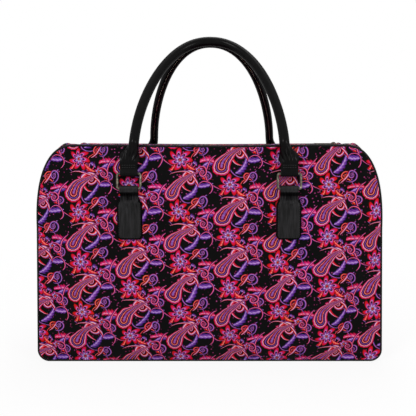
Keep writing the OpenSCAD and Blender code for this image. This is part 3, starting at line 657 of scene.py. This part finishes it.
def grained(name, tones, rough, pores, creases, strength, distance, shine):
    material, tree, shader = new_material(name)
    place = wire(tree, "TexCoord").outputs["Object"]
    grain = wire(tree, "Group", {"Place": place, "Pores": pores, "Creases": creases},
                 node_tree=hide_grain).outputs
    tint, _ = ramp(tree, grain["Tone"], [(0.25, tones[0]), (0.75, tones[1])])
    polish = wire(tree, "MapRange", {"Value": grain["Wear"], "From Min": 0.3, "From Max": 0.75,
                                     "To Min": rough[0], "To Max": rough[1]})
    relief = wire(tree, "Bump", {"Height": grain["Height"], "Strength": strength, "Distance": distance})
    feed(tree, shader, {"Base Color": tint, "Roughness": polish.outputs[0], "Normal": relief.outputs[0],
                        "Specular IOR Level": shine})
    return material


def tube_faces(count, sides):
    return [(i * sides + j, (i + 1) % count * sides + j, (i + 1) % count * sides + (j + 1) % sides,
             i * sides + (j + 1) % sides) for i in range(count) for j in range(sides)]


def add_pair(name, points, faces, material, body, node=None):
    for side, placed in (("front", points), ("back", half_turn(points))):
        add_piece(side + name, placed, faces, material, body.format(side), [side + node] if node else ())


black_piping = grained("black_piping", ("#0a090a", "#131112"), (0.6, 0.75), 1500.0, 0.2, 0.3, 0.0002, 0.15)
pipe_line = outline - pipe_d / 2 * outward
pipe_sides = 14
ring_turn = np.linspace(0, 2 * np.pi, pipe_sides, endpoint=False)
pipe_points = np.stack([
    pipe_line[:, None, 0] + pipe_d / 2 * outward[:, None, 0] * np.cos(ring_turn),
    -gusset_w / 2 + pipe_d / 2 * np.sin(ring_turn) + 0 * pipe_line[:, None, 0],
    pipe_line[:, None, 1] + pipe_d / 2 * outward[:, None, 1] * np.cos(ring_turn)], -1).reshape(-1, 3)
add_pair("_piping_cord", pipe_points, tube_faces(len(pipe_line), pipe_sides), black_piping, "bag",
         "_piping")


# Handles. One strip of fine-grained black hide is rolled round a filler cord and sewn under the arch; each end
# opens into a flat strap, goes round the ring and is sewn back on itself, so creases run up from the seam.
black_leather = grained("black_leather", ("#020202", "#090809"), (0.42, 0.58), 900.0, 0.8, 0.4, 0.0003, 0.02)
tree = black_leather.node_tree
feed(tree, tree.nodes["Principled BSDF"], {"Coat Weight": 0.1, "Coat Roughness": 0.2})
handle_t, roll_r, loop_t = 2.0, 5.2, 2.0
upper_y, upper_z, seam_z = -114.472, 241.748, 253.748
leg_y, apex_y, arch_z, apex_z, crest_z = -109.272, -6.5, 271.0, 415.0, 279.0
strap_w, bore_r, spread = 21.0, 1.65, 91.25


def lean_y(z):
    return leg_y + (apex_y - leg_y) * (np.clip(z - crest_z, 0, None) / (apex_z - crest_z)) ** 1.12


def rolled_strip(roll_h, shift_h):
    leg_z = np.linspace(seam_z - 5, arch_z, 40)[:-1]
    bow = np.pi / 2 * np.linspace(0, 1, 96) ** 1.5
    path_z = np.concatenate([leg_z, arch_z + (apex_z - arch_z) * np.sin(bow) ** 1.076])
    path_x = np.concatenate([np.full(len(leg_z), spread), spread * np.maximum(np.cos(bow), 0) ** 0.943])
    path_x = tab_x + (path_x - tab_x) * smooth((path_z - seam_z) / shift_h)
    right_leg = np.stack([path_x, lean_y(path_z), path_z], -1)
    path = np.concatenate([right_leg, right_leg[-2::-1] * (-1, 1, 1)])
    at = np.arange(len(path))
    ahead = unit(path[np.minimum(at + 1, len(path) - 1)] - path[np.maximum(at - 1, 0)])
    slope = lean_y(path[:, 2] + 0.5) - lean_y(path[:, 2] - 0.5)
    out = unit(np.stack([np.zeros(len(path)), -np.ones(len(path)), slope], -1))
    cross = unit(np.cross(out, ahead))
    roll = smooth((path[:, 2] - seam_z) / roll_h)
    flat_arc, full_arc, flat_out = 10, 348, 5.9
    arc = np.radians(flat_arc + (full_arc - flat_arc) * roll)
    wide = (strap_w - 0.6) + (roll_r * np.radians(full_arc) - strap_w + 0.6) * np.sqrt(roll)
    bend_r = wide / arc
    back = bend_r - (flat_out + (roll_r - flat_out) * roll)
    strip = np.linspace(-0.5, 0.5, 61)[None, :]
    angle = arc[:, None] * strip
    pleat = np.sin(2 * np.pi * 5.5 * strip + 0.9 * np.sin(9 * strip)) * np.cos(np.pi * strip) ** 0.5
    opening = np.sin(np.pi * np.clip(1.1 * roll, 0, 1))[:, None]
    worn = 0.10 * np.sin(at[:, None] / 7.0 + 3 * strip) * roll[:, None]
    faces_at = []
    for offset in (handle_t / 2, -handle_t / 2):
        r = bend_r[:, None] + offset + opening * (0.75 * pleat - 0.35) + worn
        faces_at.append(path[:, None, :] + (r * np.sin(angle))[..., None] * cross[:, None, :]
                        + (r * np.cos(angle) - back[:, None])[..., None] * out[:, None, :])
    return shell(*faces_at)


def strap(line_y, line_z, half_w, thick, x_mid, relief=0.0):
    line = np.stack([line_y, line_z], -1)
    ahead = unit(np.gradient(line, axis=0))
    side = np.stack([ahead[:, 1], -ahead[:, 0]], -1)
    half = len(line) // 2
    side *= np.sign(np.dot(side[half], line[half] - (line[0] + line[-1]) / 2))
    across = np.sin(np.pi / 2 * np.linspace(-1, 1, 49))
    x = across[None, :] * np.broadcast_to(half_w, len(line))[:, None]
    edge = np.clip((np.abs(x) - np.broadcast_to(half_w, len(line))[:, None] + 0.8) / 0.8, 0, 1)
    round_off = np.sqrt(1 - 0.85 * edge ** 2)
    faces_at = []
    for offset in (thick / 2 * round_off + relief * (1 - edge), -thick / 2 * round_off):
        faces_at.append(np.stack([x_mid + x, line[:, None, 0] + side[:, None, 0] * offset,
                                  line[:, None, 1] + side[:, None, 1] * offset], -1))
    return shell(*faces_at)


def merge(parts):
    points, faces, start = [], [], 0
    for p, f in parts:
        points.append(np.asarray(p, float))
        faces += [tuple(int(i) + start for i in face) for face in f]
        start += len(p)
    return np.concatenate(points), faces


def stitches(path, face, pitch, length, thick):
    path, face = np.asarray(path, float), np.asarray(face, float)
    far = run_length(path)
    spots = np.arange(pitch / 2, far[-1], pitch)
    at = np.stack([np.interp(spots, far, path[:, i]) for i in range(3)], -1)
    along = unit(np.stack([np.interp(spots + 0.3, far, path[:, i]) - np.interp(spots - 0.3, far, path[:, i])
                           for i in range(3)], -1))
    side = unit(np.cross(along, face))
    hexagon = np.arange(6) * np.pi / 3
    parts = []
    for p, t, b in zip(at, along, side):
        rings = [p + t * length * s + face * thick * lift + thick / 2 * r * (np.cos(a) * b + np.sin(a) * face)
                 for s, r, lift in ((-0.5, 0.35, -0.45), (-0.34, 0.85, 0.1), (0, 1.0, 0.25), (0.34, 0.85, 0.1),
                                    (0.5, 0.35, -0.45)) for a in hexagon]
        faces = [(6 * i + j, 6 * i + (j + 1) % 6, 6 * i + 6 + (j + 1) % 6, 6 * i + 6 + j)
                 for i in range(4) for j in range(6)]
        parts.append((rings, faces + [(5, 4, 3, 2, 1, 0), (24, 25, 26, 27, 28, 29)]))
    return merge(parts)


wrap = np.linspace(np.radians(160), np.radians(380), 30)
loop_mid = bore_r + loop_t / 2
loop_y = np.concatenate([np.full(10, -1.0), np.linspace(-1.0, loop_mid * np.cos(wrap[0]), 8)[1:-1],
                         loop_mid * np.cos(wrap), np.linspace(loop_mid * np.cos(wrap[-1]), 1.0, 8)[1:-1],
                         np.full(10, 1.0)]) + upper_y
loop_z = np.concatenate([np.linspace(12, 5.5, 10), np.linspace(5.5, loop_mid * np.sin(wrap[0]), 8)[1:-1],
                         loop_mid * np.sin(wrap), np.linspace(loop_mid * np.sin(wrap[-1]), 5.5, 8)[1:-1],
                         np.linspace(5.5, 12, 10)]) + upper_z
straps = [strap(loop_y, loop_z, strap_w / 2, loop_t, x_mid) for x_mid in (tab_x, -tab_x)]
for side, roll_h, shift_h in (("front", 26.0, 26.0), ("back", 32.0, 34.0)):
    points, faces = merge([rolled_strip(roll_h, shift_h), *straps])
    points = points if side == "front" else half_turn(points)
    add_piece(side + "_handle_leather", points, faces, black_leather, side + "_handle",
              [side + "_handle_sleeve"])

black_thread = grained("black_thread", ("#1a191a", "#2a292a"), (0.55, 0.7), 4000.0, 0.0, 0.3, 0.0002, 0.25)
seam_x = np.linspace(-strap_w / 2 + 2, strap_w / 2 - 2, 12)
sewn = []
for middle_x in (tab_x, -tab_x):
    for row_z in (seam_z - 1.6, seam_z - 4.4):
        row = np.stack([middle_x + seam_x, np.full(12, upper_y - 2.0), np.full(12, row_z)], -1)
        sewn.append(stitches(row, (0, -1, 0), 2.8, 2.3, 0.6))
sewn_points, sewn_faces = merge(sewn)
add_pair("_handle_stitching", sewn_points, sewn_faces, black_thread, "{}_handle")


# Tabs. A leather plate with a turned and stitched edge is sewn flat to the panel; its upper end is gathered
# into pleats, goes over the lower bar of the ring and is caught in the seam behind. Painted shade darkens the
# leather's colour and gloss along the rim of the plate and in the gathered neck under the loop.
tab_w, tab_t, tab_bottom, tab_top, tab_corner, neck_half = 31.0, 3.0, 161.0, 213.0, 6.0, 11.2
bar_y, bar_z, tab_back = -117.472, 224.0, -114.172
tab_leather = grained("tab_leather", ("#060606", "#222123"), (0.42, 0.55), 900.0, 1.2, 0.5, 0.0004, 0.1)
tree = tab_leather.node_tree
shader = tree.nodes["Principled BSDF"]
# painted shade: the 'shade' attribute darkens the base colour and cuts the gloss and coat along the rim and in the
# gathered neck
shade = wire(tree, "Attribute", attribute_name="shade").outputs["Fac"]
tint = shader.inputs["Base Color"].links[0].from_socket
shaded = wire(tree, "VectorMath", {0: tint, "Scale": shade}, operation="SCALE")
gloss = calc(tree, "MULTIPLY", calc(tree, "POWER", shade, 2.0), 0.1)
feed(tree, shader, {"Base Color": shaded.outputs[0], "Specular IOR Level": gloss, "Coat Weight": gloss,
                    "Coat Roughness": 0.25})
panel_tree = BVHTree.FromPolygons(panel_points.tolist(), panel_faces)


def tab_half(z):
    low = np.clip((z - tab_bottom) / tab_corner, 0, 1)
    full = tab_w / 2 - tab_corner + tab_corner * np.sqrt(1 - (1 - low) ** 2)
    return full - (tab_w / 2 - neck_half - 0.6) * smooth((z - tab_top + 10) / 10)


def tab_seat(x, z):
    spots = zip(np.ravel(tab_x + x), np.ravel(z))
    hits = [panel_tree.ray_cast(Vector((a, -200, b)), Vector((0, 1, 0)))[0].y for a, b in spots]
    return np.minimum(np.array(hits).reshape(np.shape(x)) + 0.15, tab_back + 0.9)


def edge_gap(x, z):
    from_side = tab_half(z) - np.abs(x)
    from_foot = z - tab_bottom
    corner_x = np.abs(x) - tab_w / 2 + tab_corner
    in_corner = (corner_x > 0) & (from_foot < tab_corner)
    round_gap = tab_corner - np.hypot(corner_x, tab_corner - from_foot)
    return np.maximum(np.where(in_corner, round_gap, np.minimum(from_side, from_foot)), 0)


def tab_height(x, z):
    gap = edge_gap(x, z)
    lip = np.sqrt(1 - (1 - np.clip(gap / 1.1, 0, 1)) ** 2)
    height = tab_t * (0.25 + 0.75 * lip) + 0.25 * np.exp(-((gap - 1.2) / 0.6) ** 2)
    height = height - 0.4 * np.exp(-((gap - 2.5) / 0.45) ** 2) + 0.3 * smooth((gap - 2.5) / 6)
    up = smooth((z - tab_bottom) / (tab_top - tab_bottom))
    wave = np.sin(2 * np.pi * x / 3.7 + 1.4 * np.sin(z / 9) + 0.6)
    wave = wave + np.sin(2 * np.pi * x / 5.9 - 1.8 * np.sin(z / 13 + 1))
    height = height + (0.16 + 0.34 * up ** 3) * wave * smooth((gap - 2.8) / 3)
    return height - 2.2 * smooth((z - tab_top + 7) / 7)


tab_z = np.concatenate([tab_bottom + 6 * np.linspace(0, 1, 22) ** 1.6, np.linspace(tab_bottom + 6.5, tab_top, 88)])
tab_u = np.sin(np.pi / 2 * np.linspace(-1, 1, 71)) * 0.35 + np.linspace(-1, 1, 71) * 0.65
plate_x = tab_u[None, :] * tab_half(tab_z)[:, None]
plate_z = np.broadcast_to(tab_z[:, None], plate_x.shape)
seat = tab_seat(plate_x, plate_z)
plate = shell(np.stack([tab_x + plate_x, seat - tab_height(plate_x, plate_z), plate_z], -1),
              np.stack([tab_x + plate_x, seat, plate_z], -1))

wrap = np.linspace(np.radians(200), np.radians(-20), 34)
front_z = np.linspace(-19, loop_mid * np.sin(wrap[0]), 40)
front_y = np.interp(front_z, [-19, -15, -12, -9.5, -7, -3.2, loop_mid * np.sin(wrap[0])],
                    [2.2, 0.9, 0.6, 0.7, 0.5, -1.7, loop_mid * np.cos(wrap[0])])
back_y, back_z = 2.6, -9
neck_y = np.concatenate([front_y[:-1], loop_mid * np.cos(wrap),
                         np.linspace(loop_mid * np.cos(wrap[-1]), back_y, 9)[1:-1], np.full(5, back_y)]) + bar_y
neck_z = np.concatenate([front_z[:-1], loop_mid * np.sin(wrap),
                         np.linspace(loop_mid * np.sin(wrap[-1]), back_z, 9)[1:-1],
                         np.linspace(back_z, -15, 5)]) + bar_z
depth = np.concatenate([front_z, np.zeros(len(neck_z) - len(front_z))])
gathered = np.exp(-((depth + 10.5) / 4.6) ** 2)
neck_u = np.sin(np.pi / 2 * np.linspace(-1, 1, 49))
pleats = gathered[:, None] * 1.1 * np.sin(2 * np.pi * 3.5 * neck_u + 0.8 * np.sin(5 * neck_u))[None, :]
neck = strap(neck_y, neck_z, neck_half - 0.9 * gathered, loop_t, tab_x, pleats)
tab_points, tab_faces = merge([plate, neck])
# painted shade masks: darker within about 3 mm of the plate's edge and in the gathered neck below the loop
plate_shade = 1 - 0.7 * (1 - smooth((edge_gap(plate_x, plate_z) - 1.8) / 1.2))
drop = neck_z - bar_z
in_gather = smooth((-3.0 - drop) / 1.5) * (1 - smooth((-7.5 - drop) / 3))
neck_shade = np.broadcast_to((1 - 0.75 * in_gather)[:, None], (len(drop), len(neck_u)))
tab_shade = np.concatenate([half.ravel() for half in (plate_shade, plate_shade, neck_shade, neck_shade)])


def four_ways(points):
    mirrored = points * (-1, 1, 1)
    return (("front_right", points), ("front_left", mirrored), ("back_left", half_turn(points)),
            ("back_right", half_turn(mirrored)))


for spot, points in four_ways(tab_points):
    piece = add_piece(spot + "_tab_leather", points, tab_faces, tab_leather, "bag", [spot + "_tab"])
    piece.data.attributes.new("shade", "FLOAT", "POINT").data.foreach_set("value", tab_shade)

inset = 2.5
side_zs = np.linspace(tab_top - 6, tab_bottom + tab_corner, 30)
bend = np.linspace(0, np.pi / 2, 10)[1:]
rim_x = np.concatenate([-(tab_half(side_zs) - inset),
                        -(tab_w / 2 - tab_corner) - (tab_corner - inset) * np.cos(bend)])
rim_z = np.concatenate([side_zs, tab_bottom + tab_corner - (tab_corner - inset) * np.sin(bend)])
rim_x, rim_z = np.concatenate([rim_x, -rim_x[::-1]]), np.concatenate([rim_z, rim_z[::-1]])
rim_line = np.stack([tab_x + rim_x, tab_seat(rim_x, rim_z) - tab_height(rim_x, rim_z), rim_z], -1)
rim_points, rim_faces = stitches(rim_line, (0, -1, 0), 3.0, 2.4, 0.6)
rim_pair, rim_pair_faces = merge([(rim_points, rim_faces), (rim_points * (-1, 1, 1), rim_faces)])
add_pair("_tab_stitching", rim_pair, rim_pair_faces, black_thread, "bag")


# Rings, zip slider, puller and stops. The rings are bent from wire and lie in the loops of the tabs and straps; the
# zip's parts are cast. All have a dark antique plating that is worn lighter.
def dress(material, *names):
    for name in names:
        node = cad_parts[name]
        node.data.materials.clear()
        node.data.materials.append(material)


gunmetal, tree, shader = new_material("gunmetal")
place = wire(tree, "TexCoord").outputs["Object"]
wear = wire(tree, "TexNoise", {"Vector": place, "Scale": 260.0, "Detail": 6.0}).outputs["Fac"]
tint, _ = ramp(tree, wear, [(0.35, "#34322e"), (0.55, "#605b51"), (0.75, "#938c7c")])
polish = wire(tree, "MapRange", {"Value": wear, "To Min": 0.5, "To Max": 0.25})
scuffs = wire(tree, "Bump", {"Height": wear, "Strength": 0.15, "Distance": 0.0002})
feed(tree, shader, {"Base Color": tint, "Metallic": 1.0, "Roughness": polish.outputs[0], "Normal": scuffs.outputs[0]})

ring_w, ring_h, wire_d, ring_corner = 28.0, 18.0, 3.2, 2.4
ring_lean = math.radians(9.594)
bends = np.linspace(0, np.pi / 2, 9)
ring_line = []
for sx, sz, turn in ((1, -1, -90), (1, 1, 0), (-1, 1, 90), (-1, -1, 180)):
    for b in bends:
        a = math.radians(turn) + b
        ring_line.append((sx * (ring_w / 2 - ring_corner) + ring_corner * math.cos(a),
                          ring_h / 2 + sz * (ring_h / 2 - ring_corner) + ring_corner * math.sin(a)))
ring_line = np.array(ring_line)
tangent = unit(np.roll(ring_line, -1, 0) - np.roll(ring_line, 1, 0))
side = np.stack([tangent[:, 1], -tangent[:, 0]], -1)
wire_sides = 16
sweep = np.linspace(0, 2 * np.pi, wire_sides, endpoint=False)
local = np.array([[(p[0] + n[0] * wire_d / 2 * math.cos(a), wire_d / 2 * math.sin(a),
                    p[1] + n[1] * wire_d / 2 * math.cos(a)) for a in sweep]
                  for p, n in zip(ring_line, side)]).reshape(-1, 3)
ring_points = np.stack([tab_x + local[:, 0],
                        bar_y + local[:, 1] * math.cos(ring_lean) + local[:, 2] * math.sin(ring_lean),
                        bar_z + local[:, 2] * math.cos(ring_lean) - local[:, 1] * math.sin(ring_lean)], -1)
ring_faces = tube_faces(len(ring_line), wire_sides)
for spot, points in four_ways(ring_points):
    body = spot.split("_")[0] + "_rings"
    add_piece(spot + "_ring_wire", points, ring_faces, gunmetal, body, [spot + "_ring"])
dress(gunmetal, "zip_slider", "zip_puller", "zip_stops")


# Zip tapes and teeth. Herringbone tape of black thread with moulded plastic teeth; the cloth beside it is turned
# under and topstitched along its edge.
zip_tape, tree, shader = new_material("zip_tape")
split = wire(tree, "SeparateXYZ", {0: wire(tree, "TexCoord").outputs["Object"]})
zigzag = calc(tree, "PINGPONG", calc(tree, "MULTIPLY", split.outputs["Y"], 1000.0), 1.5)
twill = calc(tree, "FRACT", calc(tree, "MULTIPLY_ADD", split.outputs["X"], 1400.0, zigzag))
rib = calc(tree, "PINGPONG", twill, 0.5)
# painted shade and highlight: the tape's colour follows the rib height, darker in the grooves and lighter on the ribs
tint, _ = ramp(tree, rib, [(0.1, "#0c0b0d"), (0.5, "#222023")])
relief = wire(tree, "Bump", {"Height": rib, "Strength": 0.5, "Distance": 0.0002})
feed(tree, shader, {"Base Color": tint, "Normal": relief.outputs[0], "Roughness": 0.8, "Specular IOR Level": 0.2})
zip_teeth = grained("zip_teeth", ("#161618", "#242426"), (0.32, 0.45), 3000.0, 0.0, 0.08, 0.0001, 0.4)
dress(zip_tape, "front_zip_tape", "back_zip_tape")
dress(zip_teeth, "front_zip_teeth", "back_zip_teeth")
hem = np.abs(-zip_rows["front"][0, :, 1] - zip_gap / 2 - 2.6).argmin()
for side in ("front", "back"):
    edge_line = zip_rows[side][4:-4, hem]
    points, faces = stitches(edge_line, (0, 0, 1), 3.6, 2.9, 0.6)
    points = points if side == "front" else half_turn(points)
    add_piece(side + "_zip_stitching", points, faces, black_thread, "bag")


# Base board and filler cords. Pressed fibre board lies loose on the base inside the bag, and twisted paper and
# cotton cords fill the rolled handles; both stay hidden.
fibre_board = grained("fibre_board", ("#7d6244", "#9a7d5a"), (0.75, 0.9), 1200.0, 0.3, 0.2, 0.0002, 0.2)
cord_filler = grained("cord_filler", ("#c9bfa8", "#ddd5c0"), (0.8, 0.9), 1500.0, 0.5, 0.4, 0.0004, 0.2)
dress(fibre_board, "base_board")
dress(cord_filler, "front_handle_core", "back_handle_core")
